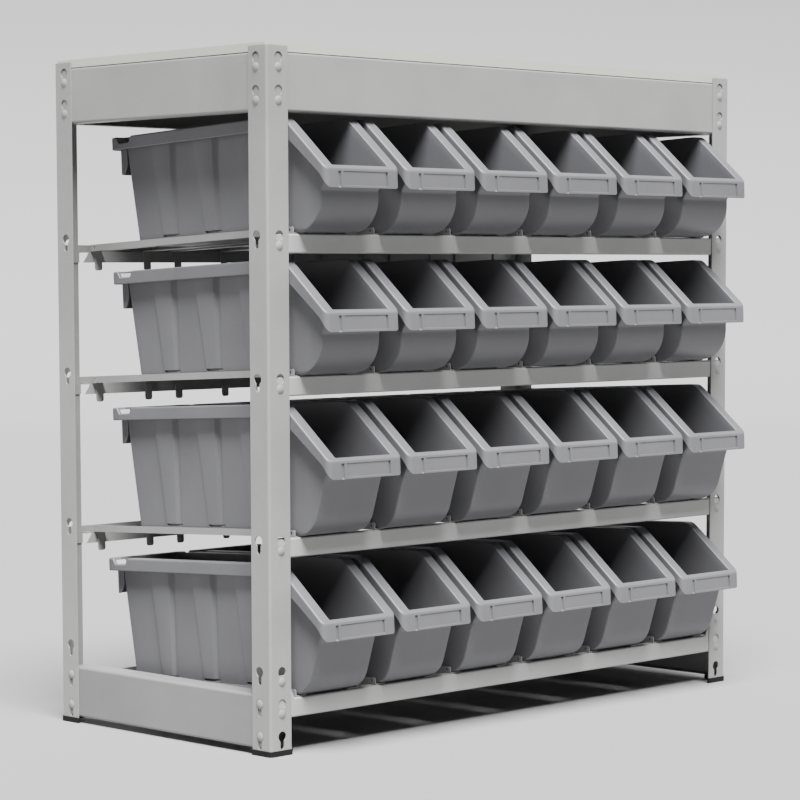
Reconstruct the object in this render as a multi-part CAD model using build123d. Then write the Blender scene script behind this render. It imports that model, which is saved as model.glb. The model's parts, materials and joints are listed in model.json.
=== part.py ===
from build123d import *
import math
import os

# Bin rack: a boltless steel frame with tilted shelves, carrying open-fronted storage bins.
# Millimetres, +X to the right of the rack, +Y to its back, +Z up.
# The origin is under the middle of the whole object, on the surface that it stands on.

# Rack frame
rack_width = 1030.0
rack_depth = 470.0
post_above_seat = 8.0
post_flange_front = 40.0
post_flange_side = 38.0
post_thickness = 1.8
post_bend_radius = 4.0
beam_end_gap = 3.0

# Feet
foot_sole = 3.0
foot_height = 8.0
foot_wall = 1.5
foot_clearance = 0.1

# Worktop and the deep panels under it
panel_thickness = 1.2
top_panel_height = 82.5
top_panel_flange = 20.0
panel_bend_radius = 4.0
board_thickness = 12.0
board_clearance = 0.4
top_headroom = 5.5

# Beams and base panels
beam_thickness = 1.5
beam_height = 27.5
beam_flange = 16.0
beam_lower_flange = 8.0
beam_bend_radius = 2.5
back_beam_height = 26.5
back_web_height = 10.0
back_ledge = 10.0
back_end_tab = 36.0
back_lip_slant = 12.0
base_panel_gap = 1.5
base_panel_height = 77.0
base_panel_flange = 34.0
base_panel_lower_flange = 14.0
ear_flat = 28.0
ear_foot = 43.0
ear_above_rivet = 9.0

# Shelf levels. A level's height is its front beam's top face.
base_level = 80.0
shelf_drop = 21.0
back_web_rise = 10.0

# Deck rails
rail_thickness = 1.2
rail_height = 10.0
rail_foot = 20.0
rail_front_gap = 6.0
rail_back_gap = 14.0
rail_hole_diameter = 4.5
rail_hole_inset = 8.0
rail_corner_radius = 3.0
tab_width = 14.0
front_tab_length = 18.0
back_tab_length = 29.0
tab_corner_radius = 4.0
tab_clearance = 1.0
tongue_end_gap = 1.5
bin_side_clearance = 1.7

# Keyholes in the posts, and the rivets on the beams that hang in them
keyhole_clearance = 1.0
slot_clearance = 2.0
keyhole_drop = 14.2
rivet_inset = 22.5
rivet_pitch = 46.0
rivet_head_diameter = 14.0
rivet_head_height = 2.4
rivet_shank_diameter = 6.0
rivet_tail_diameter = 9.0
rivet_tail_height = 1.0
rivet_hole_clearance = 0.05
top_rivet_below_seat = 22.0
beam_rivet_below_top = 17.0
base_rivet_below_top = 20.5

# Bins
bin_columns = 6
bin_gap = 13.0
bin_post_gap = 3.0
rim_overhang = 16.25
bin_wall = 2.5
label_wall = 3.6
rim_skirt = 19.0
rim_corner_radius = 9.0
base_back_radius = 8.0
rib_proud = 1.6
rib_pitch = 94.0
rib_groove = 12.5
rib_top_width = 42.0
rib_base_width = 20.0
rib_base_height = 12.0
rib_count = 4
notch_top_width = 33.0
notch_base_width = 23.0
notch_depth = 9.0
notch_from_back = 15.0
handle_drop = 36.0
label_margin = 24.75
label_pocket_depth = 0.9
label_slot_width = 3.5
label_slot_depth = 2.4
label_bar_width = 4.5
label_groove_width = 5.5
label_groove_depth = 2.0
label_lip = 4.0
label_top_margin = 3.5
seat_gap = 0.05

# Shallow bins stand on the upper two levels, deep bins on the lower two.
# lip_low and lip_high bound the label face, front_lean tilts the body's front wall.
# back_low and back_top are how far the back wall's foot and top stand in from the bin's back end.
# headroom is the clear height above the rim, up to the beam of the level above.
shallow_bin = dict(length=rack_depth - 7.0, height=164.0, lip_low=56.5, lip_high=84.0, slope_start=85.0,
                   front_wall=27.0, front_lean=0.0, front_radius=50.0, back_low=39.0, back_top=14.0,
                   groove_from_back=120.0, headroom=8.5)
deep_bin = dict(length=rack_depth + 2.0, height=188.0, lip_low=79.0, lip_high=105.5, slope_start=91.0,
                front_wall=27.0, front_lean=20.0, front_radius=40.0, back_low=39.0, back_top=13.0,
                groove_from_back=126.0, headroom=12.5)

# Top to bottom: the bins on each level, and how far their lips reach past the rack's front
level_bins = [shallow_bin, shallow_bin, deep_bin, deep_bin]
level_reach = [73.0, 73.0, 77.0, 64.0]

# Sizes that follow from the ones above
keyhole_diameter = rivet_head_diameter + keyhole_clearance
keyhole_slot = rivet_shank_diameter + slot_clearance
bin_pitch = (rack_width - 2 * (post_flange_front + bin_post_gap) + bin_gap) / bin_columns
rim_half_width = (bin_pitch - bin_gap) / 2
body_half_width = rim_half_width - rim_overhang
label_half_width = rim_half_width - label_margin
base_panel_bottom = foot_height + base_panel_gap

# Heights, worked out upwards: each level clears the bins below it
level_heights = [base_level]
for spec in reversed(level_bins[1:]):
    level_heights.insert(0, level_heights[0] + spec["height"] + spec["headroom"] + beam_height)
board_seat = level_heights[0] + level_bins[0]["height"] + top_headroom + top_panel_height
post_top = board_seat + post_above_seat

# Planes that the pieces share. Bins reach out at the front, and rivet heads at the back.
back_reach = max(rivet_head_height, foot_wall + foot_clearance)
front_y = (max(level_reach) - rack_depth - back_reach) / 2
back_y = front_y + rack_depth
left_x = -rack_width / 2
right_x = rack_width / 2
beam_front_y = front_y + post_thickness
beam_back_y = back_y - post_thickness
beam_left_x = left_x + post_thickness + beam_end_gap
beam_right_x = right_x - post_thickness - beam_end_gap
panel_left_x = left_x + post_thickness
panel_right_x = right_x - post_thickness
seat_y = beam_front_y + beam_flange
ledge_front_y = beam_back_y - beam_thickness - back_ledge
tongue_end_y = beam_back_y - beam_thickness - tongue_end_gap
shelf_tilt = math.degrees(math.atan2(shelf_drop, tongue_end_y - seat_y))
tilt_cos = math.cos(math.radians(shelf_tilt))
tilt_sin = math.sin(math.radians(shelf_tilt))
rail_gap_half = body_half_width + rib_proud + bin_side_clearance
top_rivets = [board_seat - top_rivet_below_seat, board_seat - top_rivet_below_seat - rivet_pitch]
base_seats = [level_heights[-1] - base_rivet_below_top + rivet_pitch * step for step in (1, 0, -1)]
# The base panels stand with their rivets up in the wide part of the keyholes.
side_rivets = [height + keyhole_drop for height in base_seats[1:]]


def block(x_range, y_range, z_range):
    """A box between two limits on each axis."""
    low = (min(x_range), min(y_range), min(z_range))
    high = (max(x_range), max(y_range), max(z_range))
    middle = [(a + b) / 2 for a, b in zip(low, high)]
    return Pos(*middle) * Box(*[b - a for a, b in zip(low, high)])


def side_prism(points, half_width, radii=()):
    """Extrude an outline of (y, z) points to both sides of X = 0, with some corners rounded first.

    radii holds (point index, radius) pairs.
    """
    face = make_face(Polyline(*points, close=True))
    for index, radius in radii:
        face = fillet(face.vertices().sort_by_distance(Vector(*points[index]))[0], radius)
    return extrude(Plane.YZ * face, half_width, both=True)


def on_shelf(level, shape):
    """Move a shape from a shelf's own tilted frame to its level.

    The shelf's frame has its origin where the rails rest on the front beam, +Y along the rails.
    """
    return Pos(0, seat_y, level_heights[level]) * Rot(X=-shelf_tilt) * shape


# Posts ------------------------------------------------------------------------------------------

def keyhole(seat_height, inset):
    """Cutter along Y for one keyhole, a wide hole above a slot whose lower end seats a rivet."""
    depth = 6 * post_thickness
    wide = Pos(inset, 0, seat_height + keyhole_drop) * Rot(X=90) * Cylinder(keyhole_diameter / 2, depth)
    low_end = Pos(inset, 0, seat_height) * Rot(X=90) * Cylinder(keyhole_slot / 2, depth)
    slot = block((inset - keyhole_slot / 2, inset + keyhole_slot / 2), (-depth / 2, depth / 2),
                 (seat_height, seat_height + keyhole_drop))
    return wide + low_end + slot


def post_outline():
    """L section of a post, with its outer corner at the origin and flanges along +X and +Y."""
    points = [(0, 0), (post_flange_front, 0), (post_flange_front, post_thickness),
              (post_thickness, post_thickness), (post_thickness, post_flange_side), (0, post_flange_side)]
    face = make_face(Polyline(*points, close=True))
    face = fillet(face.vertices().sort_by_distance(Vector(0, 0))[0], post_bend_radius)
    inner = Vector(post_thickness, post_thickness)
    return fillet(face.vertices().sort_by_distance(inner)[0], post_bend_radius - post_thickness)


def make_post(beam_seats):
    """A post whose X flange has keyholes for the beams at beam_seats."""
    post = Pos(0, 0, foot_sole) * extrude(post_outline(), post_top - foot_sole)
    for seat in top_rivets + beam_seats:
        post -= keyhole(seat, rivet_inset)
    side_seats = top_rivets + [height - beam_rivet_below_top for height in level_heights[:-1]] + base_seats
    for seat in side_seats:
        post -= Rot(Z=90) * keyhole(seat, rivet_inset)
    return post


def make_foot():
    """Cap on the lower end of a post: a sole and a low wall around the L section."""
    section = post_outline()
    outer = offset(section, amount=foot_wall + foot_clearance)
    socket = offset(section, amount=foot_clearance)
    return extrude(outer, foot_height) - Pos(0, 0, foot_sole) * extrude(socket, foot_height)


def at_corner(shape, side, end):
    """Place a piece made at a front left corner: side is -1 left or 1 right, end is -1 front or 1 back."""
    if side > 0:
        shape = mirror(shape, about=Plane.YZ)
    if end > 0:
        shape = mirror(shape, about=Plane.XZ)
    return Pos(side * rack_width / 2, front_y if end < 0 else back_y, 0) * shape


# Folded beams and panels ------------------------------------------------------------------------

def folded_beam(length, height, thickness, bend, flanges, mitre):
    """A folded sheet along X from 0 to length: its web's outer face is Y = 0, its top face is Z = 0.

    flanges holds the widths of the upper and lower flange, which turn towards +Y on the outer radius
    bend. Their ends are cut back at 45 degrees, starting mitre from the ends.
    """
    upper_flange, lower_flange = flanges
    points = [(0, 0), (upper_flange, 0), (upper_flange, -thickness), (thickness, -thickness),
              (thickness, thickness - height), (lower_flange, thickness - height),
              (lower_flange, -height), (0, -height)]
    face = make_face(Polyline(*points, close=True))
    bends = (((0, 0), bend), ((0, -height), bend), ((thickness, -thickness), bend - thickness),
             ((thickness, thickness - height), bend - thickness))
    for corner, radius in bends:
        face = fillet(face.vertices().sort_by_distance(Vector(*corner))[0], radius)
    beam = extrude(Plane.YZ * face, length)
    reach = max(upper_flange, lower_flange) + 1
    wedge = make_face(Polyline((-1, thickness), (mitre, thickness), (mitre + reach, thickness + reach),
                               (-1, thickness + reach), close=True))
    cutter = Pos(0, 0, -height - 1) * extrude(wedge, height + 2)
    beam -= cutter
    beam -= Pos(length, 0, 0) * mirror(cutter, about=Plane.YZ)
    return beam


def rivet_hole(x, z, thickness):
    """Cutter along Y for a rivet's shank through a web whose outer face is Y = 0."""
    radius = rivet_shank_diameter / 2 + rivet_hole_clearance
    return Pos(x, thickness / 2, z) * Rot(X=90) * Cylinder(radius, 3 * thickness)


def make_front_beam(level):
    """Front beam of a level. The lowest one has an ear at each end for a second rivet.

    An ear is flat on top behind the post, and slants down to the beam's top face beside it.
    """
    length = beam_right_x - beam_left_x
    flanges = (beam_flange, beam_lower_flange)
    beam = folded_beam(length, beam_height, beam_thickness, beam_bend_radius, flanges, 0)
    top = level_heights[level]
    rivet_x = rivet_inset - post_thickness - beam_end_gap
    seats = [top - beam_rivet_below_top]
    if level == len(level_heights) - 1:
        seats = base_seats[:2]
        ear_top = base_seats[0] + ear_above_rivet - top
        outline = make_face(Polyline((0, -beam_bend_radius), (0, ear_top), (ear_flat, ear_top),
                                     (ear_foot, 0), (ear_foot, -beam_bend_radius), close=True))
        ear = Pos(0, beam_thickness, 0) * extrude(Plane.XZ * outline, beam_thickness)
        beam += ear
        beam += Pos(length, 0, 0) * mirror(ear, about=Plane.YZ)
    for seat in seats:
        beam -= rivet_hole(rivet_x, seat - top, beam_thickness)
        beam -= rivet_hole(length - rivet_x, seat - top, beam_thickness)
    return Pos(beam_left_x, beam_front_y, top) * beam


def back_beam_seat(level):
    """Height of the rivets at the ends of a level's back beam."""
    return level_heights[level] - shelf_drop + back_web_rise - back_beam_height / 2


def make_back_beam(level):
    """Back beam: web, a ledge folded forward for the rails, and a lip folded down from the ledge.

    At both ends the web keeps its full height behind the posts, and the ledge and lip stop short.
    """
    length = beam_right_x - beam_left_x
    ledge_top = level_heights[level] - shelf_drop
    web_top = ledge_top + back_web_rise
    low = web_top - back_beam_height
    wall_y = (beam_back_y - beam_thickness, beam_back_y)
    beam = block((beam_left_x, beam_right_x), wall_y, (ledge_top - beam_thickness, web_top))
    for start in (beam_left_x, beam_right_x - back_end_tab):
        beam += block((start, start + back_end_tab), wall_y, (low, web_top))
    reach_x = (beam_left_x + back_end_tab, beam_right_x - back_end_tab)
    beam += block(reach_x, (ledge_front_y, beam_back_y), (ledge_top - beam_thickness, ledge_top))
    lip = make_face(Polyline((reach_x[0] + back_lip_slant, ledge_top),
                             (reach_x[1] - back_lip_slant, ledge_top),
                             (reach_x[1], low), (reach_x[0], low), close=True))
    beam += Pos(0, ledge_front_y + beam_thickness, 0) * extrude(Plane.XZ * lip, beam_thickness)
    rivet_x = rivet_inset - post_thickness - beam_end_gap
    for x in (rivet_x, length - rivet_x):
        beam -= Pos(beam_left_x, beam_back_y - beam_thickness, back_beam_seat(level)) * rivet_hole(
            x, 0, beam_thickness)
    return beam


def make_panel(length, height, flanges, rivets):
    """Deep panel with two rivet holes at each end. rivets are heights below its top face."""
    mitre = 0.5 * beam_end_gap
    panel = folded_beam(length, height, panel_thickness, panel_bend_radius, flanges, mitre)
    rivet_x = rivet_inset - post_thickness - beam_end_gap
    for drop in rivets:
        for x in (rivet_x, length - rivet_x):
            panel -= rivet_hole(x, -drop, panel_thickness)
    return panel


def facing(panel, side, length):
    """Turn a panel made along X to stand on one side of the rack."""
    if side == "front":
        return Pos(beam_left_x, beam_front_y, 0) * panel
    if side == "back":
        return Pos(beam_left_x + length, beam_back_y, 0) * Rot(Z=180) * panel
    if side == "left":
        return Pos(panel_left_x, beam_front_y + beam_end_gap + length, 0) * Rot(Z=-90) * panel
    return Pos(panel_right_x, beam_front_y + beam_end_gap, 0) * Rot(Z=90) * panel


# Deck rails -------------------------------------------------------------------------------------

def make_rail(bin_x, side):
    """Angle rail under one edge of a bin, in the shelf's own frame.

    The upright stands outside the bin and the foot reaches under it. A tab at each end hangs behind
    the front beam's flange and before the back beam's lip, and a tongue rests on the back ledge.
    """
    inner_x = bin_x + side * rail_gap_half
    outer_x = inner_x + side * rail_thickness
    foot_x = outer_x - side * rail_foot
    start = (front_y + rail_front_gap - seat_y) / tilt_cos
    stop = (ledge_front_y - tab_clearance - seat_y) / tilt_cos
    tongue = math.hypot(tongue_end_y - seat_y, shelf_drop)
    rail = block((inner_x, outer_x), (start, stop), (0, rail_height))
    rail = fillet(rail.edges().filter_by(Axis.X).group_by(Axis.Z)[-1], rail_corner_radius)
    rail += block((foot_x, outer_x), (start, stop), (0, rail_thickness))
    tongue_x = (outer_x, outer_x - side * (rail_foot - tab_width - tab_clearance))
    rail += block(tongue_x, (stop - rail_thickness, tongue), (0, rail_thickness))
    tab_x = (foot_x, foot_x + side * tab_width)
    for low_y, drop in ((tab_clearance, front_tab_length), (stop - rail_thickness, back_tab_length)):
        tab = block(tab_x, (low_y, low_y + rail_thickness), (-drop, rail_thickness / 2))
        corners = tab.edges().filter_by(Axis.Y).group_by(Axis.Z)[0]
        rail += fillet(corners, tab_corner_radius)
    for y in (start + rail_hole_inset, stop - rail_hole_inset):
        hole = Rot(Y=90) * Cylinder(rail_hole_diameter / 2, 4 * rail_thickness)
        rail -= Pos((inner_x + outer_x) / 2, y, rail_height / 2 + rail_thickness / 2) * hole
    return rail


def bin_centres():
    """X of each column of bins."""
    middle = (bin_columns - 1) / 2
    return [(column - middle) * bin_pitch for column in range(bin_columns)]


def make_rails(level):
    """All the rails of one level, as separate solids."""
    rails = [make_rail(x, side) for x in bin_centres() for side in (-1, 1)]
    return Compound(children=[on_shelf(level, rail) for rail in rails])


# Rivets -----------------------------------------------------------------------------------------

def make_rivet(web_thickness):
    """A rivet along Y through a web at Y = 0, with its domed head outside the post's flange."""
    head_face = -post_thickness
    shank_low = head_face - 0.5 * rivet_head_height
    tail = web_thickness + rivet_tail_height
    shank = Rot(X=90) * Cylinder(rivet_shank_diameter / 2, tail - shank_low)
    shank = Pos(0, (shank_low + tail) / 2, 0) * shank
    radius = rivet_head_diameter / 2
    sphere_radius = (radius ** 2 + rivet_head_height ** 2) / (2 * rivet_head_height)
    ball = Pos(0, head_face + sphere_radius - rivet_head_height, 0) * Sphere(sphere_radius)
    keep = block((-radius - 1, radius + 1), (head_face - 2 * rivet_head_height, head_face),
                 (-radius - 1, radius + 1))
    head = ball & keep
    washer = Pos(0, web_thickness + rivet_tail_height / 2, 0) * Rot(X=90) * Cylinder(
        rivet_tail_diameter / 2, rivet_tail_height)
    return shank + head + washer


def make_rivets():
    """Every rivet of the rack, as separate solids."""
    rivets = []
    along_x = (left_x + rivet_inset, right_x - rivet_inset)
    along_y = (front_y + rivet_inset, back_y - rivet_inset)
    front_seats = [height - beam_rivet_below_top for height in level_heights[:-1]] + base_seats[:2]
    back_seats = [back_beam_seat(level) for level in range(len(level_heights))]
    for x in along_x:
        for z in top_rivets:
            rivets.append(Pos(x, beam_front_y, z) * make_rivet(panel_thickness))
            rivets.append(Pos(x, beam_back_y, z) * Rot(Z=180) * make_rivet(panel_thickness))
        for z in front_seats:
            rivets.append(Pos(x, beam_front_y, z) * make_rivet(beam_thickness))
        for z in back_seats:
            rivets.append(Pos(x, beam_back_y, z) * Rot(Z=180) * make_rivet(beam_thickness))
    for y in along_y:
        for z in top_rivets + side_rivets:
            rivets.append(Pos(panel_left_x, y, z) * Rot(Z=-90) * make_rivet(panel_thickness))
            rivets.append(Pos(panel_right_x, y, z) * Rot(Z=90) * make_rivet(panel_thickness))
    return Compound(children=rivets)


# Bins -------------------------------------------------------------------------------------------

def slope_height(spec, y):
    """Height of the rim's top face over the hopper's sloping front, at a distance from the lip."""
    rise = (spec["height"] - spec["lip_high"]) / spec["slope_start"]
    return spec["lip_high"] + rise * y


def body_outline(spec, raised):
    """Side outline of the bin's body as (y, z) points. raised carries the open top further up."""
    lean = math.tan(math.radians(spec["front_lean"]))
    front_foot = (spec["front_wall"] + spec["lip_low"] * lean, 0)
    front_waist = (spec["front_wall"], spec["lip_low"])
    front_top = (label_wall, slope_height(spec, label_wall))
    back_rise = (spec["back_low"] - spec["back_top"]) / spec["height"]
    back_foot = (spec["length"] - spec["back_low"], 0)
    back_top = (spec["length"] - spec["back_top"] + raised * back_rise, spec["height"] + raised)
    if raised:
        lift = spec["height"] + raised - front_top[1]
        run = (front_waist[0] - front_top[0]) / (front_top[1] - front_waist[1])
        return [front_foot, front_waist, (front_top[0] - lift * run, spec["height"] + raised), back_top,
                back_foot]
    return [front_foot, front_waist, front_top, (spec["slope_start"], spec["height"]), back_top, back_foot]


def body_solid(spec, half_width, raised):
    """The bin's body as a full block, rounded at the foot of its front and back walls."""
    points = body_outline(spec, raised)
    radii = [(0, spec["front_radius"]), (len(points) - 1, base_back_radius)]
    return side_prism(points, half_width, radii)


def cavity_solid(spec):
    """The space inside the bin, open at the top and along the hopper's slope."""
    points = body_outline(spec, 2 * rim_skirt)
    face = make_face(Polyline(*points, close=True))
    for index, radius in ((0, spec["front_radius"]), (len(points) - 1, base_back_radius)):
        face = fillet(face.vertices().sort_by_distance(Vector(*points[index]))[0], radius)
    face = offset(face, amount=-bin_wall, kind=Kind.INTERSECTION)
    return extrude(Plane.YZ * face, body_half_width - bin_wall, both=True)


def rim_outline(spec, inset):
    """Side outline of the rim. With an inset it is the hollow under the rim, open below."""
    height = spec["height"] - inset
    length = spec["length"] - inset
    front = label_wall if inset else 0
    below = spec["height"] if inset else 0
    slope = math.atan2(spec["height"] - spec["lip_high"], spec["slope_start"])
    shift = inset * math.tan(slope / 2)
    slope_end = spec["slope_start"] + shift
    lip_high = slope_height(spec, front) - inset / math.cos(slope)
    step = 0.6 * rim_skirt
    return [(front, spec["lip_low"] - below), (front, lip_high), (slope_end, height), (length, height),
            (length, spec["height"] - rim_skirt - below),
            (slope_end + rim_skirt * math.tan(slope / 2), spec["height"] - rim_skirt - below),
            (step, slope_height(spec, step) - rim_skirt / math.cos(slope) - below)]


def rounded_plan(spec, inset):
    """Tall block with the rim's outline seen from above."""
    width = 2 * (rim_half_width - inset)
    length = spec["length"] - 2 * inset
    plan = RectangleRounded(width, length, rim_corner_radius - inset)
    return Pos(0, spec["length"] / 2, -spec["height"]) * extrude(plan, 3 * spec["height"])


def make_ribs(spec):
    """Raised ribs on both side walls, wide at the top and narrow at the foot, each before a groove."""
    ribs = []
    top = spec["height"] - rim_skirt
    for index in range(rib_count):
        groove = spec["length"] - spec["groove_from_back"] - index * rib_pitch
        if groove < spec["slope_start"]:
            continue
        points = [(groove, rib_base_height), (groove + rib_base_width, rib_base_height),
                  (groove + rib_top_width, top), (groove, top)]
        ribs.append(side_prism(points, body_half_width + rib_proud))
    return ribs


def make_handle(spec):
    """Hanging grip under the rim at the back, closed at both ends."""
    top = spec["height"] - rim_skirt / 2
    low = spec["height"] - rim_skirt - handle_drop
    length = spec["length"]
    start = length - spec["back_top"] - bin_wall - handle_drop / 4
    outer = block((-body_half_width, body_half_width), (start, length), (low, top))
    inner_half = body_half_width - bin_wall
    return outer - block((-inner_half, inner_half), (start - 1, length - bin_wall), (low - 1, top + 1))


def label_cuts(spec):
    """Cutters for the label holder on the lip.

    A shallow pocket ends in a deeper slot at the right. At the left a bar parts it from a groove, which
    runs out through the lip's lower edge.
    """
    low = spec["lip_low"] + label_lip
    high = spec["lip_high"] - label_top_margin
    bar = -label_half_width + label_groove_width + label_bar_width
    slot = (label_half_width - label_slot_width, label_half_width)
    groove = (-label_half_width, -label_half_width + label_groove_width)
    return [block((bar, label_half_width), (-1, label_pocket_depth), (low, high)),
            block(slot, (-1, label_slot_depth), (low, high)),
            block(groove, (-1, label_groove_depth), (spec["lip_low"] - 1, high))]


def notch_cut(spec):
    """Cutter for the stacking notch across the rim's sides near the back."""
    back = spec["length"] - notch_from_back
    step = (notch_top_width - notch_base_width) / 2
    high = spec["height"]
    points = [(back - notch_top_width, high + 1), (back - notch_top_width, high),
              (back - notch_top_width + step, high - notch_depth), (back - step, high - notch_depth),
              (back, high), (back, high + 1)]
    return side_prism(points, rim_half_width + 1)


def make_bin(spec):
    """One bin in its own frame: the lip's face is Y = 0 and the underside of its base is Z = 0."""
    rim = side_prism(rim_outline(spec, 0), rim_half_width) & rounded_plan(spec, 0)
    rim -= side_prism(rim_outline(spec, bin_wall), rim_half_width) & rounded_plan(spec, bin_wall)
    rim -= notch_cut(spec)
    shell = body_solid(spec, body_half_width, 0) + rim
    for rib in make_ribs(spec):
        shell += rib
    shell += make_handle(spec)
    shell -= cavity_solid(spec)
    for cut in label_cuts(spec):
        shell -= cut
    return shell


def place_bin(shape, level, bin_x):
    """Stand a bin on a level's rails, its lip reaching past the rack's front by the level's reach."""
    spec = level_bins[level]
    lift = rail_thickness + seat_gap
    along = (front_y - level_reach[level] - seat_y - (lift + spec["lip_low"]) * tilt_sin) / tilt_cos
    return on_shelf(level, Pos(bin_x, along, lift) * shape)


# Assembly ---------------------------------------------------------------------------------------

def top_panels():
    """The four deep panels under the worktop."""
    x_length = beam_right_x - beam_left_x
    y_length = rack_depth - 2 * (post_thickness + beam_end_gap)
    drops = [board_seat - height for height in top_rivets]
    nodes = {}
    for side, length in (("front", x_length), ("back", x_length), ("left", y_length), ("right", y_length)):
        panel = make_panel(length, top_panel_height, (top_panel_flange, top_panel_flange), drops)
        nodes["top_panel_" + side] = Pos(0, 0, board_seat) * facing(panel, side, length)
    return nodes


def base_panels():
    """The two deep panels between the feet, one at each side."""
    length = rack_depth - 2 * (post_thickness + beam_end_gap)
    top = base_panel_bottom + base_panel_height
    drops = [top - height for height in side_rivets]
    panel = make_panel(length, base_panel_height, (base_panel_flange, base_panel_lower_flange), drops)
    return {"base_panel_" + side: Pos(0, 0, top) * facing(panel, side, length) for side in ("left", "right")}


def make_board():
    """The worktop board, held between the posts' flanges on top of the panels."""
    gap = post_thickness + board_clearance
    board = block((left_x + gap, right_x - gap), (front_y + gap, back_y - gap),
                  (board_seat, board_seat + board_thickness))
    corners = board.edges().filter_by(Axis.Z)
    return fillet(corners, post_bend_radius)


def build():
    """All nodes by name."""
    nodes = {}
    front_seats = [height - beam_rivet_below_top for height in level_heights[:-1]] + base_seats
    back_seats = [back_beam_seat(level) for level in range(len(level_heights))]
    posts = {-1: make_post(front_seats), 1: make_post(back_seats)}
    foot = make_foot()
    for end, end_name in ((-1, "front"), (1, "back")):
        for side, side_name in ((-1, "left"), (1, "right")):
            nodes["post_%s_%s" % (end_name, side_name)] = at_corner(posts[end], side, end)
            nodes["foot_%s_%s" % (end_name, side_name)] = at_corner(foot, side, end)
    nodes.update(top_panels())
    nodes.update(base_panels())
    nodes["worktop_board"] = make_board()
    for level in range(len(level_heights)):
        nodes["front_beam_%d" % (level + 1)] = make_front_beam(level)
        nodes["back_beam_%d" % (level + 1)] = make_back_beam(level)
        nodes["deck_rails_%d" % (level + 1)] = make_rails(level)
    nodes["rivets"] = make_rivets()
    shapes = {id(spec): make_bin(spec) for spec in (shallow_bin, deep_bin)}
    for level, spec in enumerate(level_bins):
        for column, bin_x in enumerate(bin_centres()):
            name = "bin_row%d_col%d" % (level + 1, column + 1)
            nodes[name] = place_bin(shapes[id(spec)], level, bin_x)
    return nodes


os.makedirs("parts", exist_ok=True)
for node_name, node_shape in build().items():
    export_step(node_shape, "parts/%s.step" % node_name)
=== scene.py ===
import bpy
import json
import math
import numpy as np
from mathutils import Matrix, Vector


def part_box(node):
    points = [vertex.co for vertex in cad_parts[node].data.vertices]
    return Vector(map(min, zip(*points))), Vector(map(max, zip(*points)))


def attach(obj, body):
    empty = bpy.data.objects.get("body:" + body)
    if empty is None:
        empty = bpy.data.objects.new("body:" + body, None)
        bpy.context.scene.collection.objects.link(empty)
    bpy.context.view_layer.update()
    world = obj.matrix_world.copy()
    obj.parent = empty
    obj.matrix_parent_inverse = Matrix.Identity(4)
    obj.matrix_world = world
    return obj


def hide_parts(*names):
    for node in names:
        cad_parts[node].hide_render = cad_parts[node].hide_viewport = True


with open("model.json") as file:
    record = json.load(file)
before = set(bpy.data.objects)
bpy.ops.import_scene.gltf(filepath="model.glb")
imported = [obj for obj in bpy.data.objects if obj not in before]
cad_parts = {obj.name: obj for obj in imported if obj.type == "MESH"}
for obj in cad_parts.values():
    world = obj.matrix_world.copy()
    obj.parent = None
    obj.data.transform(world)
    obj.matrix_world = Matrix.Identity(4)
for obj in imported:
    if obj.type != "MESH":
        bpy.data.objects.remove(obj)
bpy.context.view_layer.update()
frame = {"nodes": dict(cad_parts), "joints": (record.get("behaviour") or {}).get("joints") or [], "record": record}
mm = 0.001
print("frame loaded:", len(frame["nodes"]), "nodes")

cameraSet = {
    "azimuth": -44.323,  # degrees; 0 looks along +Y
    "elevation": 4.781,
    "distance": 4.2744,
    "aim": (-0.1249, 0.04, 0.3219),
    "roll": -0.2287,
    "lens": 123.22,
    "sensor": 36,
    "shift": (0.0625, 0.13),
    "clip": (0.05, 100),
}


def makeCamera(s):
    azimuth, elevation = math.radians(s["azimuth"]), math.radians(s["elevation"])
    level = math.cos(elevation)
    back = np.array([math.sin(azimuth) * level, -math.cos(azimuth) * level, math.sin(elevation)])
    right = np.cross(-back, [0, 0, 1])
    right /= np.linalg.norm(right)
    up = np.cross(right, -back)
    cosR, sinR = math.cos(math.radians(s["roll"])), math.sin(math.radians(s["roll"]))
    right, up = right * cosR + up * sinR, up * cosR - right * sinR
    data = bpy.data.cameras.new("camera")
    data.lens, data.sensor_width = s["lens"], s["sensor"]
    data.shift_x, data.shift_y = s["shift"]
    data.clip_start, data.clip_end = s["clip"]
    camera = bpy.data.objects.new("camera", data)
    place = np.eye(4)
    place[:3, 0], place[:3, 1], place[:3, 2] = right, up, back
    place[:3, 3] = np.array(s["aim"]) + back * s["distance"]
    camera.matrix_world = Matrix(place.tolist())
    bpy.context.scene.collection.objects.link(camera)
    bpy.context.scene.camera = camera


makeCamera(cameraSet)

studioSet = {
    "innerRadius": 0.5, "floorRadius": 8.0, "sweepRadius": 3.0, "wallTop": 5.0,
    "floorRings": 8, "sweepRings": 13, "spokes": 96,
    "floorColor": (0.23, 0.23, 0.23), "floorRoughness": 0.95, "floorSpecular": 0.1,
    "skyStrength": 0.17,
    # suns: name, direction towards it, how wide it is in degrees, strength
    "suns": [("keySun", (-0.25, -0.37, 0.895), 34, 19.5), ("backSun", (0.55, 0.60, 0.58), 50, 0.8)],
}


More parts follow.
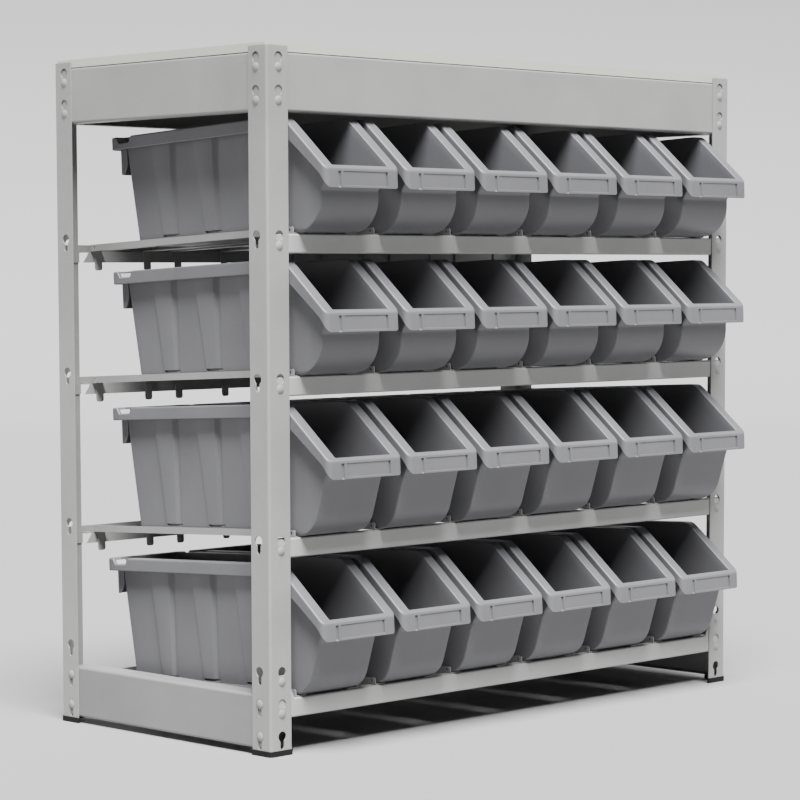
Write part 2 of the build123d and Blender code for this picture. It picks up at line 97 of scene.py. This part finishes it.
def makeStudio(s):
    # floor and backdrop are one bowl: a flat disc, a quarter round and a wall, turned about the middle
    rings, spokes = s["floorRings"], s["spokes"]
    turn = np.radians(np.linspace(0, 90, s["sweepRings"]))
    reach, bend = s["floorRadius"], s["sweepRadius"]
    radius = np.concatenate([np.linspace(s["innerRadius"], reach, rings), reach + bend * np.sin(turn[1:]),
                             [reach + bend]])
    height = np.concatenate([np.zeros(rings), bend * (1 - np.cos(turn[1:])), [s["wallTop"]]])
    around = np.radians(np.arange(spokes) * 360 / spokes)
    points = np.stack([np.outer(radius, np.cos(around)), np.outer(radius, np.sin(around)),
                       np.repeat(height[:, None], spokes, axis=1)], axis=-1).reshape(-1, 3)
    k = np.arange(len(points)).reshape(len(radius), spokes)
    right = np.roll(k, -1, axis=1)
    quads = np.stack([k[:-1], k[1:], right[1:], right[:-1]], axis=-1).reshape(-1, 4).tolist()
    mesh = bpy.data.meshes.new("floor")
    mesh.from_pydata(points.tolist(), [], quads + [k[0].tolist()])
    mesh.polygons.foreach_set("use_smooth", np.ones(len(mesh.polygons), bool))
    floor = bpy.data.objects.new("floor", mesh)
    bpy.context.scene.collection.objects.link(floor)
    paint = bpy.data.materials.new("floorPaint")
    paint.use_nodes = True
    shader = paint.node_tree.nodes["Principled BSDF"]
    shader.inputs["Base Color"].default_value = (*s["floorColor"], 1)
    shader.inputs["Roughness"].default_value = s["floorRoughness"]
    shader.inputs["Specular IOR Level"].default_value = s["floorSpecular"]
    mesh.materials.append(paint)
    world = bpy.data.worlds.new("sky")
    world.use_nodes = True
    world.node_tree.nodes["Background"].inputs["Color"].default_value = (1, 1, 1, 1)
    world.node_tree.nodes["Background"].inputs["Strength"].default_value = s["skyStrength"]
    bpy.context.scene.world = world
    for name, towards, wide, strength in s["suns"]:
        light = bpy.data.lights.new(name, "SUN")
        light.energy, light.angle = strength, math.radians(wide)
        lamp = bpy.data.objects.new(name, light)
        lamp.rotation_mode = "QUATERNION"
        lamp.rotation_quaternion = Vector(towards).to_track_quat("Z", "Y")
        bpy.context.scene.collection.objects.link(lamp)


makeStudio(studioSet)
print("camera, floor and light made")


def newFinish(name):
    finish = bpy.data.materials.new(name)
    finish.use_nodes = True
    return finish, finish.node_tree.nodes, finish.node_tree.links


def coatedFinish(name, s):
    # a surface whose colour drifts between two tones, with fine orange peel in its bump
    finish, nodes, links = newFinish(name)
    shader = nodes["Principled BSDF"]
    place = nodes.new("ShaderNodeTexCoord")

    def noise(scale, detail, rough):
        n = nodes.new("ShaderNodeTexNoise")
        n.inputs["Scale"].default_value = scale
        n.inputs["Detail"].default_value = detail
        n.inputs["Roughness"].default_value = rough
        links.new(place.outputs["Object"], n.inputs["Vector"])
        return n

    cloud, speck, peel = noise(*s["cloud"]), noise(*s["speck"]), noise(*s["peel"])
    tone = nodes.new("ShaderNodeMix")
    tone.data_type = "RGBA"
    tone.inputs["A"].default_value = (*s["dark"], 1)
    tone.inputs["B"].default_value = (*s["light"], 1)
    spread = nodes.new("ShaderNodeMapRange")
    spread.inputs["From Min"].default_value, spread.inputs["From Max"].default_value = s["spread"]
    blend = nodes.new("ShaderNodeMix")
    blend.inputs["Factor"].default_value = s["speckShare"]
    links.new(cloud.outputs["Fac"], blend.inputs["A"])
    links.new(speck.outputs["Fac"], blend.inputs["B"])
    links.new(blend.outputs["Result"], spread.inputs["Value"])
    links.new(spread.outputs["Result"], tone.inputs["Factor"])
    links.new(tone.outputs["Result"], shader.inputs["Base Color"])
    gloss = nodes.new("ShaderNodeMapRange")
    gloss.inputs["To Min"].default_value, gloss.inputs["To Max"].default_value = s["roughness"]
    links.new(speck.outputs["Fac"], gloss.inputs["Value"])
    links.new(gloss.outputs["Result"], shader.inputs["Roughness"])
    bump = nodes.new("ShaderNodeBump")
    bump.inputs["Strength"].default_value = s["peelStrength"]
    bump.inputs["Distance"].default_value = s["peelDepth"]
    links.new(peel.outputs["Fac"], bump.inputs["Height"])
    links.new(bump.outputs["Normal"], shader.inputs["Normal"])
    shader.inputs["Specular IOR Level"].default_value = s["specular"]
    return finish


# cloud, speck and peel each give a noise's scale, detail and roughness
coatBasics = {"cloud": (6, 4, 0.6), "speck": (700, 2, 0.6), "speckShare": 0.4, "spread": (0.3, 0.7),
              "roughness": (0.36, 0.50), "peel": (1100, 2, 0.5), "peelStrength": 0.35, "peelDepth": 0.0003,
              "specular": 0.5}
frameCoat = coatedFinish("frameCoat", dict(
    coatBasics, dark=(0.185, 0.185, 0.182), light=(0.250, 0.250, 0.246)))
baseCoat = coatedFinish("baseCoat", dict(
    coatBasics, dark=(0.135, 0.135, 0.135), light=(0.190, 0.190, 0.188), cloud=(5, 4, 0.6), speckShare=0.35,
    roughness=(0.38, 0.52)))
# painted light: the front beams stand in the lips' shade, so they get a lighter copy of the frame coat that paints
# that light back in; the steel itself is the same
paintedLightBeamCoat = coatedFinish("paintedLightBeamCoat", dict(coatBasics, dark=(0.27, 0.27, 0.265), light=(0.34, 0.34, 0.335)))
footPlastic = coatedFinish("footPlastic", dict(
    coatBasics, dark=(0.006, 0.006, 0.006), light=(0.012, 0.011, 0.011), cloud=(30, 2, 0.5), speckShare=0.5,
    roughness=(0.5, 0.65), peel=(1200, 2, 0.5), peelStrength=0.3, specular=0.12))
boardFace = coatedFinish("boardFace", dict(
    coatBasics, dark=(0.36, 0.365, 0.33), light=(0.42, 0.425, 0.385), cloud=(9, 4, 0.6), speck=(450, 3, 0.6),
    speckShare=0.6, roughness=(0.45, 0.6), peel=(900, 2, 0.5), peelStrength=0.2))
binPlastic = coatedFinish("binPlastic", dict(
    coatBasics, dark=(0.086, 0.086, 0.093), light=(0.112, 0.112, 0.120), cloud=(9, 4, 0.6),
    speck=(800, 2, 0.6), speckShare=0.45, peel=(1300, 2, 0.5), peelStrength=0.4))

finishOf = {"frame_coating": frameCoat, "panel_coating": baseCoat, "rail_coating": frameCoat,
            "rivet_steel": frameCoat, "foot_plastic": footPlastic, "board": boardFace,
            "bin_plastic": binPlastic}
for part in frame["record"]["subparts"]:
    mesh = frame["nodes"][part["node"]].data
    mesh.materials.clear()
    isFrontBeam = part["node"].startswith("front_beam")
    # front beams take the frame coat's lighter copy, painted light against the lips' shade
    mesh.materials.append(paintedLightBeamCoat if isFrontBeam else finishOf[part["material_slot"]])
print("finishes made and given to the CAD nodes")

# In millimetres, in a bin's own frame: y runs from the lip's face to the back, z up from the base's
# underside
bothBins = {
    "wall": 2.5, "lipWall": 3.6, "rimHalf": 73.25, "bodyHalf": 57.0, "skirt": 19.0, "rimCorner": 9.0,
    "rimEdge": 2.4, "openingEdge": 1.2, "kneeSoft": 4.0, "bodyCorner": 2.6, "backCorner": 7.0,
    "baseEdge": 5.0, "innerCorner": 1.5, "innerBackCorners": (4.5, 2.5),  # at the floor, at the opening
    "skirtEdge": 1.25, "skirtKnee": 11.0, "skirtLevelAfter": 7, "skirtSoft": (1.5, 2.0), "flareSoft": 0.8,
    "bodyBehindLip": 1.4, "flatFrom": 16,  # the outside's rings are closer together below flatFrom
    "backFoot": 8.0, "ribPitch": 94.0, "ribCount": 3, "ribChamfer": 12.5, "ribTop": 42.0, "ribBase": 20.0,
    "ribStep": 1.2, "ribProud": (2.0, 4.0), "sink": (10.2, 13.8), "sinkDepth": 1.6,
    "notchFromBack": 15.0, "notchTop": 33.0, "notchBase": 23.0, "notchDepth": 9.0,
    "labelHalf": 48.5, "groove": 5.5, "bar": 4.5, "slot": 3.5, "pocketDepth": 0.9, "slotDepth": 2.4,
    "grooveDepth": 2.0, "labelLow": 4.0, "labelTop": 3.5, "gripDrop": 36.0, "gripDepth": 14.0,
    "gripCorner": 9.0, "gripInto": 6, "cheekRise": 16, "sharpAngle": 38,
}
shallowBin = dict(
    bothBins, length=463.0, height=164.0, lipLow=56.5, lipHigh=84.0, slopeStart=85.0, frontWall=27.0,
    lean=0.0, frontRadius=50.0, backLow=39.0, backTop=14.0, grooveFromBack=120.0)
deepBin = dict(
    bothBins, length=472.0, height=188.0, lipLow=79.0, lipHigh=105.5, slopeStart=91.0, frontWall=27.0,
    lean=20.0, frontRadius=40.0, backLow=39.0, backTop=13.0, grooveFromBack=126.0)


def lower(p, q, soft):
    # the lower of two lines with their corner rounded: half of p + q - sqrt((p - q)^2 + soft^2)
    return (p + q - np.sqrt((p - q) ** 2 + soft ** 2)) / 2


def rimTop(b, y):
    # the rim slopes up from the lip, then runs level
    slope = (b["height"] - b["lipHigh"]) / b["slopeStart"]
    return lower(b["lipHigh"] + slope * y, b["height"] + 0 * y, b["kneeSoft"])


def skirtFoot(b, y):
    # the skirt's lower edge: steep at the lip, then along the slope, then level
    knee, end, level = b["skirtKnee"], b["slopeStart"] + b["skirtLevelAfter"], b["height"] - b["skirt"]
    steep = b["lipLow"] + b["skirt"] / knee * y
    along = b["lipLow"] + b["skirt"] + (level - b["lipLow"] - b["skirt"]) / (end - knee) * (y - knee)
    return lower(lower(steep, along, b["skirtSoft"][0]), level + 0 * y, b["skirtSoft"][1])


def frontAt(b, z, inset):
    # the front wall: an arc up from the base, a leaning wall, then a flare out to the lip. inset is towards
    # the inside
    lean, radius = math.radians(b["lean"]), b["frontRadius"]
    centre = (b["frontWall"] + b["lipLow"] * math.tan(lean) - radius * math.tan(lean)
              + radius / math.cos(lean))
    arc = centre - np.sqrt(np.maximum((radius - inset) ** 2 - (radius - z) ** 2, 0))
    leaning = b["frontWall"] + (b["lipLow"] - z) * math.tan(lean) + inset / math.cos(lean)
    run = (b["frontWall"] - b["lipWall"]) / (float(rimTop(b, np.array(b["lipWall"]))) - b["lipLow"])
    flare = b["frontWall"] + (b["lipLow"] - z) * run + inset * math.sqrt(1 + run ** 2)
    arcTop = radius - (radius - inset) * math.sin(lean)
    return np.where(z < arcTop, arc, lower(leaning, flare, b["flareSoft"]))


def backAt(b, z, inset):
    # the back wall: a line leaning out upwards, with an arc at its foot
    line = b["length"] - b["backLow"] + (b["backLow"] - b["backTop"]) * z / b["height"] - inset
    radius = b["backFoot"] - inset
    rise = np.clip(b["backFoot"] - z, 0, radius)
    return line - (radius - np.sqrt(radius ** 2 - rise ** 2))


def binColumns(b):
    # the columns of half a bin, from the lip's middle round to the back's middle. Along the ribs each has
    # its y on the wall's top and on its base, how far it stands up a rib, and whether a sink is cut there
    marks = np.array([b["labelHalf"], b["labelHalf"] - b["slot"], b["labelHalf"] - b["groove"],
                      b["labelHalf"] - b["groove"] - b["bar"]])
    front = np.unique(np.concatenate([[0.0, 13.0, 26.0], marks - 0.25, marks + 0.25]))
    chamfer, first = b["ribChamfer"], b["length"] - b["grooveFromBack"]
    starts = first - b["ribPitch"] * np.arange(b["ribCount"] - 1, -1, -1.0)
    # offsets from a rib's front edge at the top and at the base, how far up the rib, and the sink
    ribShape = np.array([
        (-chamfer, -chamfer, 0, 0), (1 - chamfer, 1 - chamfer, -0.06, 1),
        (-0.72 * chamfer, -0.72 * chamfer, -0.30, 1),
        (-0.56 * chamfer, -0.56 * chamfer, -0.36, 1), (-0.42 * chamfer, -0.42 * chamfer, -0.22, 1),
        (-0.12 * chamfer, -0.12 * chamfer, 0.85, 1), (0.4, 0.4, 1, 1),
        (b["ribTop"] / 2, b["ribBase"] / 2, 1, 1),
        (b["ribTop"] - 0.9, b["ribBase"] - 0.9, 1, 1), (b["ribTop"], b["ribBase"], 0.95, 0),
        (b["ribTop"] + b["ribStep"], b["ribBase"] + b["ribStep"], 0.04, 0),
        (b["ribTop"] + b["ribStep"] + 0.8, b["ribBase"] + b["ribStep"] + 0.8, 0, 0)])
    top = (starts[:, None] + ribShape[:, 0]).ravel()
    base = (starts[:, None] + ribShape[:, 1]).ravel()
    level, sink = np.tile(ribShape[:, 2], len(starts)), np.tile(ribShape[:, 3], len(starts))
    knee = b["slopeStart"]
    besideKnee = np.array([-8, -4, -1.5, 1, 3.5, 7, 12, 22])
    lead = np.concatenate([np.linspace(b["rimCorner"] + 5, knee - 14, 5), knee + besideKnee, [top[0] - 14]])
    back = b["length"] - b["notchFromBack"]
    slant = (b["notchTop"] - b["notchBase"]) / 2
    wide = b["notchTop"]
    tail = back + np.array([-wide - 12, -wide - 0.5, -wide, slant - wide, slant - wide + 8, -slant - 8,
                            -slant, 0.0, 0.4])
    notch = np.array([0, 0, 0.04, 1, 1, 1, 1, 0.04, 0.0])
    return {"front": front, "lead": lead, "top": top, "base": base, "level": level, "sink": sink,
            "tail": tail, "notch": notch, "arc": np.radians(np.linspace(0, 90, 8)),
            "back": np.linspace(1, 0, 7)[1:]}


def halfRing(b, c, half, yFront, yBack, corner, backCorner, share=None):
    # One ring of half a bin, as x and y arrays over the columns. Its plan is a rounded rectangle: a front
    # corner's x is half - corner + corner * sine, and its y is yFront + corner - corner * cosine. share is
    # how far up the wall each column stands, which slants the ribs. Without it the ring belongs to the rim
    sideCount = len(c["lead"]) + len(c["top"]) + len(c["tail"])
    cuts = np.cumsum([len(c["front"]), len(c["arc"]), sideCount, len(c["arc"]), len(c["back"])])
    total = cuts[-1]
    half, yFront, yBack = [np.broadcast_to(np.asarray(v, float), total) for v in (half, yFront, yBack)]
    a, d, e, f = cuts[:4]  # where the front, the front corner, the side and the back corner end
    front = c["front"] * np.minimum(1, (half[:a] - corner - 0.5) / (b["labelHalf"] + 0.5))
    bx = half[a:d] - corner + corner * np.sin(c["arc"])
    by = yFront[a:d] + corner - corner * np.cos(c["arc"])
    upTo = np.ones(sideCount) if share is None else share[d:e]
    n, m = len(c["lead"]), len(c["lead"]) + len(c["top"])  # the ribs' first column and the one past them
    ribY = np.concatenate([np.full(n, c["base"][0]), c["base"], np.full(sideCount - m, c["base"][-1])])
    topY = np.concatenate([np.full(n, c["top"][0]), c["top"], np.full(sideCount - m, c["top"][-1])])
    ribs = ribY + (topY - ribY) * upTo
    start, stop = yFront[d:e] + corner, yBack[d:e] - backCorner
    leadShare = (c["lead"] - b["rimCorner"]) / (c["top"][0] - b["rimCorner"])
    if share is None:
        lead = c["lead"] + (1 - leadShare) * (start[:n] - b["rimCorner"]) * (start[:n] > c["lead"][0] - 1)
        tail = np.minimum(c["tail"], stop[m:] - 0.3 * np.arange(len(c["tail"]), 0, -1) / len(c["tail"]))
    else:
        lead = start[:n] + leadShare * (ribs[:n] - start[:n])
        tailShare = (c["tail"] - c["top"][-1]) / (b["length"] - b["rimCorner"] - c["top"][-1])
        tail = ribs[m:] + tailShare * (stop[m:] - ribs[m:])
    side = np.concatenate([lead, ribs[n:m], tail])
    cx = half[e:f] - backCorner + backCorner * np.cos(c["arc"])
    cy = yBack[e:f] - backCorner + backCorner * np.sin(c["arc"])
    x = np.concatenate([front, bx, half[d:e], cx, (half[f:] - backCorner) * c["back"]])
    y = np.concatenate([yFront[:a], by, side, cy, yBack[f:]])
    return x, y


def binShell(b):
    # The shell is one closed grid of rings by columns. The rings go up the inside from the floor, over the
    # rim, down the skirt, back up under it and down the outside to the base
    c = binColumns(b)
    before, after = len(c["front"]) + len(c["arc"]), len(c["arc"]) + len(c["back"])
    sideCount = len(c["lead"]) + len(c["top"]) + len(c["tail"])
    total = before + sideCount + after
    wall, inner = b["wall"], b["bodyHalf"] - b["wall"]
    rings = []

    def pad(values, lead):
        # a side's values, set among zeros for all the other columns
        rest = total - before - lead - len(values)
        return np.concatenate([np.zeros(before + lead), values, np.zeros(rest)])

    level, sink = pad(c["level"], len(c["lead"])), pad(c["sink"], len(c["lead"]))
    notch = pad(c["notch"], len(c["lead"]) + len(c["top"]))

    def steep(y):
        # how much longer a step along the rim is than its y: sqrt(1 + slope^2)
        return np.sqrt(1 + ((rimTop(b, y + 0.05) - rimTop(b, y - 0.05)) / 0.1) ** 2)

    # where the opening's edge stands at the front and the back
    openFront = float(frontAt(b, rimTop(b, np.array(5.0)), wall))
    openBack = b["length"] - b["backTop"] - wall
    floorCorner, openCorner = b["innerBackCorners"]
    openX, openY = halfRing(b, c, inner, openFront, openBack, b["innerCorner"], openCorner)
    openTop = rimTop(b, openY)

    # inside: z runs from the floor to the opening's edge, close together at the foot and at the front wall's
    # bend
    bend = (b["lipLow"] - wall) / (openTop[0] - wall)
    besideBend = np.array([-0.03, 0, 0.03])
    steps = np.unique(np.concatenate([np.linspace(0, 1, 13) ** 2, np.linspace(0.1, 1, 9),
                                      bend + besideBend]))
    for s in steps:
        z = wall + s * (openTop - b["openingEdge"] * steep(openY) - wall)
        rise = np.clip(b["baseEdge"] + wall - z, 0, b["baseEdge"])
        foot = np.sqrt(np.maximum(0, b["baseEdge"] ** 2 - rise ** 2))
        half = inner - 0.6 * (b["baseEdge"] - foot)
        # the sides stand behind the opening's front edge
        ringFront = np.maximum(frontAt(b, z, wall), openFront)
        ringX, ringY = halfRing(b, c, half, ringFront, backAt(b, z, wall), b["innerCorner"],
                                floorCorner + (openCorner - floorCorner) * s, z / openTop)
        last = s ** 6
        rings.append((ringX + (openX - ringX) * last, ringY + (openY - ringY) * last, z))
    # the rim, from the opening's edge out to the skirt; q is 0 at the outside and 1 at the opening
    across = b["rimHalf"] - inner
    back = b["length"] - b["notchFromBack"] + 0.6

    def rimRing(q, drop, cut):
        corner = b["rimCorner"] * (1 - q) + b["innerCorner"] * q
        yBack = b["length"] + (openBack - b["length"]) * q
        backCorner = min(corner, max(yBack - back, 1.0)) if q < 0.9 else openCorner
        x, y = halfRing(b, c, b["rimHalf"] - across * q, openFront * q, yBack, corner, backCorner)
        return x, y, rimTop(b, y) - drop * steep(y) - cut * b["notchDepth"] * notch

    edge = b["openingEdge"]
    for turn in np.radians([20, 45, 70, 90]):
        rings.append(rimRing(1 - edge * (1 - math.cos(turn)) / across, edge * (1 - math.sin(turn)), 0))
    bodyShare = (b["rimHalf"] - b["bodyHalf"]) / across
    for q, cut in ((0.5 + bodyShare / 2, 0), (bodyShare + 0.015, 0), (bodyShare - 0.015, 1),
                   (bodyShare / 2, 1)):
        rings.append(rimRing(q, 0, cut))
    edge = b["rimEdge"]
    for turn in np.radians([0, 18, 36, 54, 72, 90]):
        rings.append(rimRing(edge * (1 - math.sin(turn)) / across, edge * (1 - math.cos(turn)), 1))
    # the skirt's outer face, with rings where the label holder's edges are
    outX, outY, outZ = rings[-1]
    skirtEdge = b["skirtEdge"]
    foot = skirtFoot(b, outY) + skirtEdge
    tall = outZ[0] - foot[0]
    low, high = (b["labelLow"] - skirtEdge) / tall, 1 - (b["labelTop"] - b["rimEdge"]) / tall
    for s in (high + 0.008, high - 0.012, 0.7, 0.5, 0.3, low + 0.012, low - 0.008, 0.06, 0):
        rings.append((outX, outY, foot + s * (outZ - foot)))
    # the skirt's rounded lower edge and its inner face
    for turn in np.radians([30, 60, 90, 120, 150, 180]):
        q = skirtEdge * (1 - math.cos(turn))
        corner = b["rimCorner"] - q
        x, y = halfRing(b, c, b["rimHalf"] - q, q * b["lipWall"] / wall, b["length"] - q, corner, corner)
        rings.append((x, y, skirtFoot(b, y) + skirtEdge - skirtEdge * math.sin(turn)))
    corner = b["rimCorner"] - wall
    x, y = halfRing(b, c, b["rimHalf"] - wall, b["lipWall"], b["length"] - wall, corner, corner)
    under = rimTop(b, y) - wall * steep(y) - b["notchDepth"] * notch
    rings.append((x, y, np.maximum(under - 0.8, skirtFoot(b, y) + 1.3)))
    # the outside of the body: ribs stand proud, and a sink is cut at each rib's foot
    sinkLow, sinkHigh = b["sink"]
    flatFrom, bodyFront = b["flatFrom"], b["lipWall"] + b["bodyBehindLip"]
    lows = np.array([0, 0.35, 1.1, 2.2, 3.6, 5.2, 7, 9, sinkLow, sinkLow + 0.5, sinkHigh - 0.5, sinkHigh,
                     flatFrom])
    # the body's top under the slope, just behind the lip
    bodyTop = rimTop(b, np.full(1, b["lipWall"] + 1.6))[0] - wall * 1.37
    bend = (b["lipLow"] - flatFrom) / (bodyTop - flatFrom)
    highs = np.unique(np.concatenate([np.linspace(0, 1, 13) ** 1.1, bend + besideBend]))
    _, topY = halfRing(b, c, b["bodyHalf"], bodyFront, b["length"] - b["backTop"], b["bodyCorner"],
                       b["backCorner"], np.ones(total))
    wallTop = rimTop(b, topY) - wall * steep(topY) - b["notchDepth"] * notch
    levels = [flatFrom + s * (wallTop - flatFrom) for s in highs[::-1]]
    levels += [z + 0 * wallTop for z in lows[::-1][1:]]
    for z in levels:
        share = np.clip(z / (b["height"] - wall), 0, 1)
        rise = np.clip(b["baseEdge"] - z, 0, b["baseEdge"])
        foot = b["baseEdge"] - np.sqrt(np.maximum(0, b["baseEdge"] ** 2 - rise ** 2))
        proud = b["ribProud"][0] + (b["ribProud"][1] - b["ribProud"][0]) * share
        inSink = (z > sinkLow + 0.2) & (z < sinkHigh - 0.2)
        out = level * proud * (1 - inSink * sink) - sink * inSink * b["sinkDepth"]
        half = b["bodyHalf"] - 0.4 * share + out - foot
        ringFront = np.maximum(frontAt(b, z, 0), bodyFront)
        x, y = halfRing(b, c, half, ringFront, backAt(b, z, 0), b["bodyCorner"], b["backCorner"], share)
        rings.append((x, y, z))

    x, y, z = [np.array([np.broadcast_to(r[i], total) for r in rings]) for i in range(3)]
    # the other half mirrors this one
    x, y, z = [np.concatenate([v, sign * v[:, -2:0:-1]], axis=1) for v, sign in ((x, -1), (y, 1), (z, 1))]
    # the label holder is pressed into the lip's face: a pocket, a slot at its right and a groove at its left
    onLip = (np.abs(y) < 0.001) & (z < b["lipHigh"] - b["labelTop"])
    bar = -b["labelHalf"] + b["groove"] + b["bar"]
    inPocket = onLip & (x > bar) & (x < b["labelHalf"]) & (z > b["lipLow"] + b["labelLow"])
    inSlot = inPocket & (x > b["labelHalf"] - b["slot"])
    inGroove = onLip & (x > -b["labelHalf"]) & (x < -b["labelHalf"] + b["groove"])
    pressed = np.where(inSlot, b["slotDepth"], np.where(inPocket, b["pocketDepth"], 0))
    y = y + pressed + inGroove * b["grooveDepth"]
    rows, columns = x.shape
    k = np.arange(rows * columns).reshape(rows, columns)
    right = np.roll(k, -1, axis=1)
    quads = np.stack([k[:-1], k[1:], right[1:], right[:-1]], axis=-1).reshape(-1, 4)
    return np.stack([x, y, z], axis=-1).reshape(-1, 3), quads, [k[0].tolist(), k[-1][::-1].tolist()]


def binGrip(b):
    # The hanging grip behind the bin: a strip carried along a U in plan. Its section goes down the outside,
    # round the lower edge and up the inside
    half, deep, r, wall = b["bodyHalf"], b["gripDepth"], b["gripCorner"], b["wall"]
    turns = np.radians(np.linspace(0, 90, 9))
    into, edge = b["gripInto"], b["skirtEdge"]  # into: how far it runs into the body and up under the skirt
    sideY = np.linspace(b["length"] - deep - into, b["length"] - r, 5)[:-1]
    outX = np.concatenate([np.full(4, half), half - r + r * np.cos(turns)])
    outY = np.concatenate([sideY, b["length"] - r + r * np.sin(turns)])
    inX = np.concatenate([np.full(4, half - wall), half - r + (r - wall) * np.cos(turns)])
    inY = np.concatenate([sideY, b["length"] - r + (r - wall) * np.sin(turns)])
    outX, inX = [np.concatenate([v, -v[::-1]]) for v in (outX, inX)]
    outY, inY = [np.concatenate([v, v[::-1]]) for v in (outY, inY)]
    top = b["height"] - b["skirt"] + into
    low = b["height"] - b["skirt"] - b["gripDrop"]
    # the cheeks' lower edge rises towards the body
    low = low + b["cheekRise"] * np.clip((b["length"] - r - outY) / (deep - r + into), 0, 1) ** 2
    section = [(0, top + 0 * low), (0, low + 3), (0, low + edge)]
    turned = np.radians([30, 60, 90, 120, 150])
    section += [((1 - math.cos(a)) / 2, low + edge - edge * math.sin(a)) for a in turned]
    section += [(1, low + edge), (1, low + 3), (1, top + 0 * low)]
    x = np.array([outX + (inX - outX) * s for s, _ in section])
    y = np.array([outY + (inY - outY) * s for s, _ in section])
    z = np.array([np.broadcast_to(h, outX.shape) for _, h in section])
    rows, columns = x.shape
    k = np.arange(rows * columns).reshape(rows, columns)
    nextRow = np.roll(k, -1, axis=0)
    quads = np.stack([k[:, :-1], k[:, 1:], nextRow[:, 1:], nextRow[:, :-1]], axis=-1).reshape(-1, 4)
    ends = [k[:, 0].tolist(), k[::-1, -1].tolist()]
    return np.stack([x, y, z], axis=-1).reshape(-1, 3), quads, ends


def outward(points, faces):
    # turns every face round if the closed surface's signed volume is negative
    tri = np.array([(f[0], f[i], f[i + 1]) for f in faces for i in range(1, len(f) - 1)])
    p, q, r = points[tri[:, 0]], points[tri[:, 1]], points[tri[:, 2]]
    volume = np.sum(p * np.cross(q, r)) / 6
    return faces if volume > 0 else [list(f)[::-1] for f in faces]


def binMesh(b):
    points, faces = np.zeros((0, 3)), []
    for maker in (binShell, binGrip):
        p, quads, caps = maker(b)
        piece = outward(p, quads.tolist() + caps)
        faces += [[i + len(points) for i in f] for f in piece]
        points = np.vstack([points, p])
    return points, faces


binShapes = {"shallow": (shallowBin, *binMesh(shallowBin)), "deep": (deepBin, *binMesh(deepBin))}
slides = {j["child"]: j for j in frame["joints"]}


def makeBin(node, kind):
    # Stands one bin where its CAD node is, tilted as its slide is. The lip's lower edge meets the box's
    # front, and the rim where its slope ends meets the box's top
    b, points, faces = binShapes[kind]
    axis = np.array(slides[node]["axis"], float)
    tilt = math.atan2(abs(axis[2]), abs(axis[1]))
    lo, hi = [np.array(v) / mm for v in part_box(node)]
    x, y, z = points.T
    originY = lo[1] - b["lipLow"] * math.sin(tilt)
    originZ = hi[2] + b["slopeStart"] * math.sin(tilt) - b["height"] * math.cos(tilt)
    placed = np.stack([(lo[0] + hi[0]) / 2 + x, originY + y * math.cos(tilt) + z * math.sin(tilt),
                       originZ - y * math.sin(tilt) + z * math.cos(tilt)], axis=-1) * mm
    mesh = bpy.data.meshes.new(node + "_shell")
    mesh.from_pydata(placed.tolist(), [], faces)
    mesh.polygons.foreach_set("use_smooth", np.ones(len(faces), bool))
    mesh.set_sharp_from_angle(angle=math.radians(b["sharpAngle"]))
    mesh.materials.append(binPlastic)
    shell = bpy.data.objects.new(node + "_shell", mesh)
    bpy.context.scene.collection.objects.link(shell)
    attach(shell, node)
    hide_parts(node)


binRows = {1: "shallow", 2: "shallow", 3: "deep", 4: "deep"}  # from the top
for row, kind in binRows.items():
    for column in range(1, 7):
        makeBin("bin_row%d_col%d" % (row, column), kind)
print("bins made")
